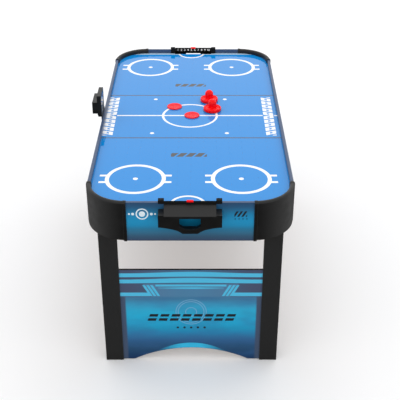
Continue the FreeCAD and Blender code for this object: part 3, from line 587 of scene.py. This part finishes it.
def moulded_red(name, base, roughness=0.28):
    """Polystyrene from a polished tool: bright red, glossy, with a little light inside."""
    material, tree, shader = new_material(
        name, Roughness=roughness, IOR=1.28, Subsurface_Weight=0.12, Subsurface_Scale=0.004
    )
    shader.inputs["Subsurface Radius"].default_value = (1.0, 0.2, 0.1)
    links = {"Vector": place(tree), "Scale": 25.0, "Detail": 2.0}
    drift = node(tree, "TexNoise", links).outputs["Fac"]
    result = paint(tree, base, [c * 0.94 for c in base], drift)
    tree.links.new(result, shader.inputs["Base Color"])
    grain_bump(tree, shader, place(tree), 260, 0.000015)
    return material


def felt_pad():
    """Pressed wool felt: black, matt and matted, with a soft sheen."""
    # Fibres are about 0.03 mm thick, too fine to show, and are drawn at 0.7 mm.
    material, tree, shader = new_material("Black felt", Roughness=0.95, Sheen_Weight=0.4)
    noise = grain_bump(tree, shader, place(tree), 1400, 0.0002, 4.0)
    result = paint(tree, linear("#101012"), linear("#2A2A2E"), noise)
    tree.links.new(result, shader.inputs["Base Color"])
    return material


def fibreboard():
    """Raw medium-density fibreboard: even brown, with short pale fibres of about 1 mm."""
    material, tree, shader = new_material("Raw fibreboard", Roughness=0.85)
    vector = place(tree, scale=(1, 1, 3))
    noise = grain_bump(tree, shader, vector, 900, 0.00008, 4.0)
    result = paint(tree, linear("#8A6746"), linear("#B28B62"), noise)
    tree.links.new(result, shader.inputs["Base Color"])
    return material


def planed_pine():
    """Planed softwood: pale, with darker growth lines a few millimetres apart."""
    material, tree, shader = new_material("Planed pine", Roughness=0.6)
    vector = place(tree, scale=(1, 0.12, 1))
    links = {"Vector": vector, "Scale": 60.0, "Distortion": 3.0, "Detail": 3.0}
    rings = node(tree, "TexWave", links, bands_direction="DIAGONAL").outputs["Fac"]
    result = paint(tree, linear("#D9B98A"), linear("#B98D58"), rings)
    tree.links.new(result, shader.inputs["Base Color"])
    grain_bump(tree, shader, vector, 500, 0.0001, 3.0)
    return material


def plated_steel(name="Zinc plated steel", code="#C4C6C2", roughness=(0.28, 0.42)):
    """Bright zinc on steel: a metal with a faint cloudy bloom."""
    material, tree, shader = new_material(name, Metallic=1.0)
    links = {"Vector": place(tree), "Scale": 160.0, "Detail": 3.0}
    cloud = node(tree, "TexNoise", links).outputs["Fac"]
    base = linear(code)
    result = paint(tree, base, [c * 0.7 for c in base], cloud)
    tree.links.new(result, shader.inputs["Base Color"])
    varied_roughness(tree, shader, place(tree), 220, *roughness)
    return material


def tinted_window():
    """Cast acrylic, tinted dark red: the lit digits show through it."""
    material, tree, shader = new_material(
        "Tinted acrylic",
        Base_Color=linear("#7A3C46"),
        Roughness=0.05,
        IOR=1.49,
        Transmission_Weight=0.92,
    )
    grain_bump(tree, shader, place(tree), 60, 0.000005)
    return material


def circuit_board():
    """Green solder mask over copper tracks, with the black digit blocks in front."""
    material, tree, shader = new_material("Circuit board", Roughness=0.35)
    vector = place(tree, scale=(0, 1, 1))
    links = {"Vector": vector, "Scale": 180.0}
    codes = {"Color1": "#0E5A2C", "Color2": "#12683A", "Mortar": "#3C8A50"}
    links |= {name: (*linear(code), 1) for name, code in codes.items()}
    tracks = node(tree, "TexBrick", {**links, "Mortar Size": 0.04}, offset=0.5)
    ahead = node(tree, "SeparateXYZ", {0: place(tree)}).outputs["X"]
    links = {0: ahead, 1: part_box("counter_board")[1].x - 0.0038}
    block = node(tree, "Math", links, operation="GREATER_THAN").outputs[0]
    result = paint(tree, tracks.outputs["Color"], linear("#0C0C0D"), block)
    tree.links.new(result, shader.inputs["Base Color"])
    return material


def lit_segment():
    """Segments of a lit display: red light through a clear face."""
    lit = settings().plastics.lit
    material, tree, shader = new_material(
        "Lit segment", Base_Color=lit, Roughness=0.4, Emission_Strength=1.4
    )
    links = {"Vector": place(tree), "Scale": 400.0}
    drift = node(tree, "TexNoise", links).outputs["Fac"]
    glow = paint(tree, lit, linear("#FF6A78"), drift)
    tree.links.new(glow, shader.inputs["Emission Color"])
    return material


def cell_sleeve():
    """Printed sleeve of a dry cell: charcoal, with a copper-coloured shoulder."""
    material, tree, shader = new_material("Cell sleeve", Roughness=0.3, Metallic=0.6)
    along = node(tree, "SeparateXYZ", {0: place(tree)}).outputs["Y"]
    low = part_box("batteries")[0].y
    band = within(tree, along, low + 0.006, 0.005)
    result = paint(tree, linear("#26262A"), linear("#B4713A"), band)
    tree.links.new(result, shader.inputs["Base Color"])
    grain_bump(tree, shader, place(tree), 300, 0.00001)
    return material


def button_rubber():
    """Silicone rubber: grey, matt, slightly soft to the eye."""
    material, tree, shader = new_material("Silicone button", Base_Color=linear("#7D7F84"))
    varied_roughness(tree, shader, place(tree), 300, 0.55, 0.7)
    grain_bump(tree, shader, place(tree), 900, 0.00002)
    return material


def white_ink():
    """Pad-printed white ink: flat and slightly uneven."""
    material, tree, shader = new_material("Pad-printed ink", Roughness=0.5)
    links = {"Vector": place(tree), "Scale": 700.0, "Detail": 2.0}
    drift = node(tree, "TexNoise", links).outputs["Fac"]
    result = paint(tree, linear("#FFFFFF"), linear("#E4E4E4"), drift)
    tree.links.new(result, shader.inputs["Base Color"])
    return material


def studio_floor():
    """Painted studio floor: pale and matt."""
    material, tree, shader = new_material("Studio floor", Roughness=0.9)
    links = {"Vector": place(tree), "Scale": 1.5}
    drift = node(tree, "TexNoise", links).outputs["Fac"]
    result = paint(tree, linear("#F9F9FA"), linear("#F6F6F7"), drift)
    tree.links.new(result, shader.inputs["Base Color"])
    return material


def one_material(key, make):
    """Each finish is made once and shared by its pieces."""
    if key not in one_material.made:
        one_material.made[key] = make()
    return one_material.made[key]


one_material.made = {}


def finish_of(key):
    """The material of a finish, by its short name."""
    plastics = settings().plastics
    makers = {
        "field": field_laminate,
        "apron_sides": apron_foil,
        "apron_ends": lambda: apron_foil(True),
        "panel": panel_foil,
        "leg": black_foil,
        "black": moulded_black,
        "dull": lambda: moulded_black("Dull black polypropylene", (0.6, 0.7), 1.22),
        "red": lambda: moulded_red("Red polystyrene", plastics.red),
        "puck": lambda: moulded_red("Red puck polystyrene", plastics.puck, 0.4),
        "felt": felt_pad,
        "board": fibreboard,
        "pine": planed_pine,
        "zinc": plated_steel,
        "motor": lambda: plated_steel("Motor can steel", "#8F9092", (0.3, 0.5)),
        "window": tinted_window,
        "circuit": circuit_board,
        "lit": lit_segment,
        "cell": cell_sleeve,
        "button": button_rubber,
        "ink": white_ink,
    }
    return one_material(key, makers[key])


# ---------------------------------------------------------------- pieces


def clad(name, key):
    """Gives a CAD node its finish without changing its shape."""
    data = NODES[name].data
    data.materials.clear()
    data.materials.append(finish_of(key))


def body_of_node(name):
    """The body that a CAD node rides on."""
    return NODES[name]["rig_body"]


def swap(mesh, name, key):
    """Puts a finished shape in a CAD node's place."""
    finished = name + "_finished"
    piece = place_piece(mesh, finished, key, body_of_node(name))
    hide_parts(name)
    return piece


def place_piece(mesh, name, key, body):
    """Turns a bmesh into a finished piece that rides on a body."""
    data = bpy.data.meshes.new(name)
    mesh.to_mesh(data)
    mesh.free()
    data.shade_smooth()
    data.set_sharp_from_angle(angle=math.radians(32))
    data.materials.append(finish_of(key))
    piece = bpy.data.objects.new(name, data)
    bpy.context.scene.collection.objects.link(piece)
    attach(piece, body)
    return piece


def copied(name):
    """A node's mesh as a bmesh, with its loose triangles merged into whole faces."""
    mesh = bmesh.new()
    mesh.from_mesh(NODES[name].data)
    bmesh.ops.remove_doubles(mesh, verts=mesh.verts, dist=0.002 * MM)
    limit = math.radians(0.5)
    bmesh.ops.dissolve_limit(mesh, angle_limit=limit, verts=mesh.verts, edges=mesh.edges)
    return mesh


def rounded(name, key, edge, segments=2, angle=40):
    """A node's shape with its sharp edges rounded, in place of the node."""
    mesh = copied(name)
    limit = math.radians(angle)
    sharp = [e for e in mesh.edges if e.is_manifold and e.calc_face_angle() > limit]
    bmesh.ops.bevel(
        mesh,
        geom=sharp,
        affect="EDGES",
        offset=edge,
        segments=segments,
        profile=0.5,
        material=-1,
        clamp_overlap=True,
    )
    flat = swap(mesh, name, key).modifiers.new("Flat faces", "WEIGHTED_NORMAL")
    flat.keep_sharp = True


def turned_piece(name, section, steps=96):
    """A bmesh turned from a (radius, height) section about a node's own upright axis."""
    low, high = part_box(name)
    centre = Vector(((low.x + high.x) / 2, (low.y + high.y) / 2, low.z))
    mesh = bmesh.new()
    verts = [mesh.verts.new(centre + Vector((r, 0, h))) for r, h in section]
    edges = [mesh.edges.new(pair) for pair in zip(verts, verts[1:])]
    bmesh.ops.spin(
        mesh,
        geom=verts + edges,
        cent=centre,
        axis=(0, 0, 1),
        angle=math.tau,
        steps=steps,
        use_merge=True,
    )
    bmesh.ops.remove_doubles(mesh, verts=mesh.verts, dist=0.005 * MM)
    bmesh.ops.recalc_face_normals(mesh, faces=mesh.faces)
    return mesh


def arc_points(centre, radius, start, stop, count):
    """Points of an arc in a (radius, height) section, angles in degrees."""
    across, up = centre
    angles = [math.radians(start + (stop - start) * n / count) for n in range(count + 1)]
    return [(across + radius * math.cos(a), up + radius * math.sin(a)) for a in angles]


class Make:
    """What the operators share: their place in the search menu and their undo."""

    bl_options = {"REGISTER", "UNDO"}


class HOCKEY_OT_playfield(Make, bpy.types.Operator):
    """Prints the rink on the playing surface"""

    bl_idname = "hockey.playfield"
    bl_label = "Playfield"

    def execute(self, context):
        clad("playfield", "field")
        return {"FINISHED"}


class HOCKEY_OT_aprons(Make, bpy.types.Operator):
    """Covers the four straight aprons in printed foil and softens their edges"""

    bl_idname = "hockey.aprons"
    bl_label = "Aprons"

    def execute(self, context):
        edge = context.scene.air_hockey.sizes.foil_edge
        for side in SIDES:
            rounded(side + "_apron", "apron_sides", edge)
        for end in ENDS:
            rounded(end + "_apron", "apron_ends", edge)
        return {"FINISHED"}


class HOCKEY_OT_corners(Make, bpy.types.Operator):
    """Finishes the moulded corner covers and the boards behind them"""

    bl_idname = "hockey.corners"
    bl_label = "Corners"

    def execute(self, context):
        edge = context.scene.air_hockey.sizes.moulded_edge
        for corner in CORNERS:
            rounded(corner + "_corner_cover", "black", edge)
            clad(corner + "_corner_core", "board")
        return {"FINISHED"}


class HOCKEY_OT_legs(Make, bpy.types.Operator):
    """Finishes the legs, their feet, plates and bolts"""

    bl_idname = "hockey.legs"
    bl_label = "Legs"

    def execute(self, context):
        edge = context.scene.air_hockey.sizes.foil_edge
        for corner in CORNERS:
            rounded(corner + "_leg", "leg", edge, angle=60)
        clad("leg_plates", "board")
        clad("leg_bolts", "zinc")
        clad("foot_glides", "black")
        return {"FINISHED"}


class HOCKEY_OT_end_panels(Make, bpy.types.Operator):
    """Prints the end panels and finishes the brackets behind them"""

    bl_idname = "hockey.end_panels"
    bl_label = "End panels"

    def execute(self, context):
        edge = context.scene.air_hockey.sizes.foil_edge
        for end in ENDS:
            rounded(end + "_end_panel", "panel", edge)
        clad("panel_brackets", "zinc")
        clad("panel_screws", "zinc")
        return {"FINISHED"}


class HOCKEY_OT_goals(Make, bpy.types.Operator):
    """Finishes the goal trays, the score rails and their sliding markers"""

    bl_idname = "hockey.goals"
    bl_label = "Goals"

    def execute(self, context):
        sizes = context.scene.air_hockey.sizes
        for end in ENDS:
            rounded(end + "_goal_box", "black", sizes.moulded_edge)
            rounded(end + "_score_rail", "dull", sizes.small_edge)
            rounded(end + "_score_slider", "red", sizes.small_edge)
        clad("goal_box_screws", "zinc")
        return {"FINISHED"}


class HOCKEY_OT_numbers(Make, bpy.types.Operator):
    """Prints 1 to 10 on the slope of each score rail"""

    bl_idname = "hockey.numbers"
    bl_label = "Score numbers"

    def execute(self, context):
        for end, sign in ENDS.items():
            self.numbers(end, sign, context.scene.air_hockey.sizes)
        return {"FINISHED"}

    def numbers(self, end, sign, sizes):
        """One row, read from the middle of the table. sign is the end's side of y = 0."""
        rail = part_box(end + "_score_rail")
        if rail[1].x - rail[0].x < 10 * sizes.number_pitch:
            raise RuntimeError("the numbers are wider than the score rail")
        # The slope's steepness, where it starts, how far down it the row sits, and the
        # ink's lift off it.
        slope = math.atan2(0.645, 0.764)
        crest_inset, crest_rise, down, lift = 0.001, 0.0055, 0.0098, 0.00003
        along = Vector((0, -sign * math.cos(slope), -math.sin(slope)))
        out = Vector((0, -sign * math.sin(slope), math.cos(slope)))
        right = Vector((sign, 0, 0))
        start = Vector((MID_X, sign * (HALF_L - crest_inset), RAIL_Z + crest_rise))
        mesh = bmesh.new()
        for number in range(1, 11):
            shift = (number - 5.5) * sizes.number_pitch
            origin = start + right * shift + along * down + out * lift
            turn = Matrix.Identity(4)
            for column, axis in enumerate((right, -along, out, origin)):
                turn.col[column][:3] = axis
            self.add_number(mesh, str(number), sizes.number_height, turn)
        name = end + "_score_numbers"
        place_piece(mesh, name, "ink", "table")

    def add_number(self, mesh, text, height, turn):
        """Adds one number, as raised ink, to the mesh. turn puts it in its place."""
        curve = bpy.data.curves.new("number", "FONT")
        curve.body = text
        curve.align_x = "CENTER"
        curve.align_y = "CENTER"
        curve.size = height * 1.38
        curve.extrude = 0.00006
        curve.resolution_u = 4
        holder = bpy.data.objects.new("number", curve)
        bpy.context.scene.collection.objects.link(holder)
        bpy.context.view_layer.update()
        graph = bpy.context.evaluated_depsgraph_get()
        flat = bpy.data.meshes.new_from_object(holder.evaluated_get(graph))
        flat.transform(turn)
        mesh.from_mesh(flat)
        bpy.data.objects.remove(holder)
        bpy.data.curves.remove(curve)
        bpy.data.meshes.remove(flat)


class HOCKEY_OT_mallets(Make, bpy.types.Operator):
    """Turns the two mallets, with their dished skirts and round knobs"""

    bl_idname = "hockey.mallets"
    bl_label = "Mallets"

    def execute(self, context):
        for end in ENDS:
            name = end + "_mallet"
            swap(turned_piece(name, self.section(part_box(name))), name, "red")
            clad(name + "_felt", "felt")
        return {"FINISHED"}

    def section(self, box):
        """From the middle of the underside, round the skirt and up the knob, in metres."""
        radius = (box[1].x - box[0].x) / 2
        height = box[1].z - box[0].z
        points = [(0, 0), (radius - 0.0020, 0)]
        points += arc_points((radius - 0.0016, 0.0016), 0.0016, -90, 0, 4)
        points += arc_points((radius - 0.0024, 0.0082), 0.0024, 0, 150, 8)
        points += arc_points((0.0210, 0.0128), 0.0064, -28, -120, 8)
        points += arc_points((0.0180, 0.0118), 0.0042, 240, 180, 4)
        points += [(0.0138, 0.0128), (0.0134, 0.0146), (0.0133, 0.0190), (0.0136, 0.0222)]
        knob = 0.0145
        points += arc_points((0, height - knob), knob, -14, 90, 14)
        points[-1] = (0, height)
        return points


class HOCKEY_OT_pucks(Make, bpy.types.Operator):
    """Turns the two pucks, with a raised rim on each face"""

    bl_idname = "hockey.pucks"
    bl_label = "Pucks"

    def execute(self, context):
        for name in ("centre_puck", "left_puck"):
            swap(turned_piece(name, self.section(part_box(name))), name, "puck")
        return {"FINISHED"}

    def section(self, box):
        """From the middle of the lower face, round the rim to the middle of the upper one."""
        radius = (box[1].x - box[0].x) / 2
        height = box[1].z - box[0].z
        soft, dish, rim = 0.0009, 0.0005, 0.0200
        points = [(0, dish), (rim - 0.0008, dish), (rim + 0.0002, 0)]
        points += arc_points((radius - soft, soft), soft, -90, 0, 4)
        points += arc_points((radius - soft, height - soft), soft, 0, 90, 4)
        points += [(rim + 0.0002, height), (rim - 0.0008, height - dish), (0, height - dish)]
        return points


class HOCKEY_OT_counter(Make, bpy.types.Operator):
    """Finishes the score counter, its buttons, window, cells and bracket"""

    bl_idname = "hockey.counter"
    bl_label = "Score counter"

    def execute(self, context):
        edge = context.scene.air_hockey.sizes.small_edge
        for name in ("counter_case", "counter_back", "battery_door", "counter_bracket"):
            rounded(name, "black", edge)
        for end in ENDS:
            rounded(end + "_score_button", "button", edge)
        clad("counter_window", "window")
        clad("counter_board", "circuit")
        clad("counter_screws", "zinc")
        clad("batteries", "cell")
        self.digits(context.scene.air_hockey.sizes.digit_height)
        return {"FINISHED"}

    def digits(self, height):
        """One lit digit on each display block, in seven leaning segments."""
        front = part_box("counter_board")[1].x
        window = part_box("counter_window")
        middle_z = (window[0].z + window[1].z) / 2
        middle_y = (window[0].y + window[1].y) / 2
        mesh = bmesh.new()
        for shift, lit in ((-0.015, "abged"), (0.015, "abgcd")):
            for segment in lit:
                self.segment(mesh, segment, height, (front, middle_y + shift, middle_z))
        place_piece(mesh, "counter_digits", "lit", "table")

    def segment(self, mesh, segment, height, centre):
        """Adds one segment. The display faces +X, so it reads from left to right along +Y."""
        half, width, stroke = height / 2, height * 0.55, height * 0.13
        spots = {
            "a": (0, half - stroke / 2, True),
            "g": (0, 0, True),
            "d": (0, stroke / 2 - half, True),
            "b": (width / 2 - stroke / 2, half / 2, False),
            "c": (width / 2 - stroke / 2, -half / 2, False),
            "e": (stroke / 2 - width / 2, -half / 2, False),
            "f": (stroke / 2 - width / 2, half / 2, False),
        }
        across, up, lying = spots[segment]
        long_side, thick = (width if lying else half) - stroke * 1.1, 0.0004
        earlier = set(mesh.verts)
        made = bmesh.ops.create_cube(mesh, size=1.0)["verts"]
        scale = (thick, long_side, stroke) if lying else (thick, stroke, long_side)
        bmesh.ops.scale(mesh, vec=scale, verts=made)
        bmesh.ops.translate(mesh, vec=(0, across, up), verts=made)
        touching = {e for v in made for e in v.link_edges}
        edges = [e for e in touching if e.calc_length() < thick * 1.5]
        bmesh.ops.bevel(
            mesh,
            geom=edges,
            affect="EDGES",
            offset=stroke * 0.42,
            segments=1,
            profile=0.5,
            material=-1,
        )
        whole = [v for v in mesh.verts if v not in earlier]
        lean = Matrix.Identity(4)
        lean[1][2] = 0.12
        bmesh.ops.transform(mesh, matrix=lean, verts=whole)
        bmesh.ops.translate(mesh, vec=Vector(centre) + Vector((thick * 0.5, 0, 0)), verts=whole)


class HOCKEY_OT_inside(Make, bpy.types.Operator):
    """Finishes the air chamber and the blower under the playfield"""

    bl_idname = "hockey.inside"
    bl_label = "Chamber and blower"

    def execute(self, context):
        clad("bottom_board", "board")
        for name in ("side_battens", "end_battens", "cross_battens"):
            clad(name, "pine")
        for name in ("blower_housing", "blower_grille", "impeller"):
            clad(name, "black")
        for name in ("blower_motor", "motor_shaft"):
            clad(name, "motor")
        clad("blower_screws", "zinc")
        return {"FINISHED"}


class HOCKEY_OT_service(Make, bpy.types.Operator):
    """Finishes the power switch and the power inlet"""

    bl_idname = "hockey.service"
    bl_label = "Switch and inlet"

    def execute(self, context):
        edge = context.scene.air_hockey.sizes.small_edge
        for name in ("switch_frame", "power_rocker", "power_inlet"):
            rounded(name, "black", edge)
        return {"FINISHED"}


class HOCKEY_OT_stage(Make, bpy.types.Operator):
    """Sets up the floor, the studio light and the camera"""

    bl_idname = "hockey.stage"
    bl_label = "Stage"

    def execute(self, context):
        self.floor()
        self.sky(context.scene)
        self.lamp()
        self.camera(context.scene)
        context.scene.view_settings.view_transform = "Standard"
        return {"FINISHED"}

    def floor(self):
        """A wide pale disc that mirrors don't see."""
        mesh = bmesh.new()
        bmesh.ops.create_circle(mesh, cap_ends=True, segments=96, radius=60.0)
        data = bpy.data.meshes.new("studio_floor")
        mesh.to_mesh(data)
        mesh.free()
        data.materials.append(studio_floor())
        floor = bpy.data.objects.new("studio_floor", data)
        bpy.context.scene.collection.objects.link(floor)
        floor.visible_glossy = False

    def sky(self, scene):
        """White overhead. Below, dark ahead and behind, and pale at both sides."""
        world = bpy.data.worlds.new("Studio sky")
        world.use_nodes = True
        tree = world.node_tree
        axes = node(tree, "SeparateXYZ", {0: node(tree, "TexCoord").outputs["Generated"]})
        aside = node(tree, "Math", {0: axes.outputs["X"]}, operation="ABSOLUTE").outputs[0]
        links = {"Value": aside, "From Min": 0.25, "From Max": 0.95}
        side = node(tree, "MapRange", links).outputs["Result"]
        low = paint(tree, linear("#000000"), linear("#D0D0D0"), side)
        links = {"Value": axes.outputs["Z"], "From Min": -0.02, "From Max": 0.0}
        share = node(tree, "MapRange", links).outputs["Result"]
        ground = tree.nodes["Background"]
        tree.links.new(paint(tree, low, linear("#FFFFFF"), share), ground.inputs["Color"])
        ground.inputs["Strength"].default_value = 1.1
        scene.world = world

    def lamp(self):
        """One soft lamp over the far half."""
        data = bpy.data.lights.new("Soft key", "AREA")
        data.shape = "DISK"
        data.size = 3.0
        data.energy = 14.0
        lamp = bpy.data.objects.new("Soft key", data)
        lamp.location = (0.4, 1.6, 3.6)
        aim = Vector((MID_X, 0, 0.5)) - lamp.location
        lamp.rotation_euler = aim.to_track_quat("-Z", "Y").to_euler()
        bpy.context.scene.collection.objects.link(lamp)

    def camera(self, scene):
        """Looks down on the near goal from the middle of the near end."""
        data = bpy.data.cameras.new("Camera")
        data.lens = 75.78
        data.sensor_width = 36.0
        camera = bpy.data.objects.new("Camera", data)
        camera.location = (0.0416, -2.6268, 1.8081)
        camera.rotation_euler = (math.radians(59.68), 0, 0)
        scene.collection.objects.link(camera)
        scene.camera = camera


OPERATORS = (
    HOCKEY_OT_playfield,
    HOCKEY_OT_aprons,
    HOCKEY_OT_corners,
    HOCKEY_OT_legs,
    HOCKEY_OT_end_panels,
    HOCKEY_OT_goals,
    HOCKEY_OT_numbers,
    HOCKEY_OT_mallets,
    HOCKEY_OT_pucks,
    HOCKEY_OT_counter,
    HOCKEY_OT_inside,
    HOCKEY_OT_service,
    HOCKEY_OT_stage,
)


class HOCKEY_PT_table(bpy.types.Panel):
    """Lists the table's pieces and what can be changed about them"""

    bl_idname = "HOCKEY_PT_table"
    bl_label = "Air hockey table"
    bl_space_type = "VIEW_3D"
    bl_region_type = "UI"
    bl_category = "Air hockey"

    def draw(self, context):
        column = self.layout.column(align=True)
        for operator in OPERATORS:
            column.operator(operator.bl_idname)
        values = context.scene.air_hockey
        for group in (values.field, values.inks, values.plastics, values.sizes):
            box = self.layout.box()
            for name in group.__annotations__:
                box.prop(group, name)


GROUPS = (FieldSizes, PrintColours, MouldingColours, MouldingSizes, TableSettings)
CLASSES = (*GROUPS, *OPERATORS, HOCKEY_PT_table)


def register():
    for cls in CLASSES:
        bpy.utils.register_class(cls)
    bpy.types.Scene.air_hockey = PointerProperty(type=TableSettings)


def unregister():
    del bpy.types.Scene.air_hockey
    for cls in reversed(CLASSES):
        bpy.utils.unregister_class(cls)


def main():
    """Registers the add-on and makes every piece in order."""
    register()
    for operator in OPERATORS:
        group, name = operator.bl_idname.split(".")
        getattr(getattr(bpy.ops, group), name)()


if __name__ == "__main__":
    main()
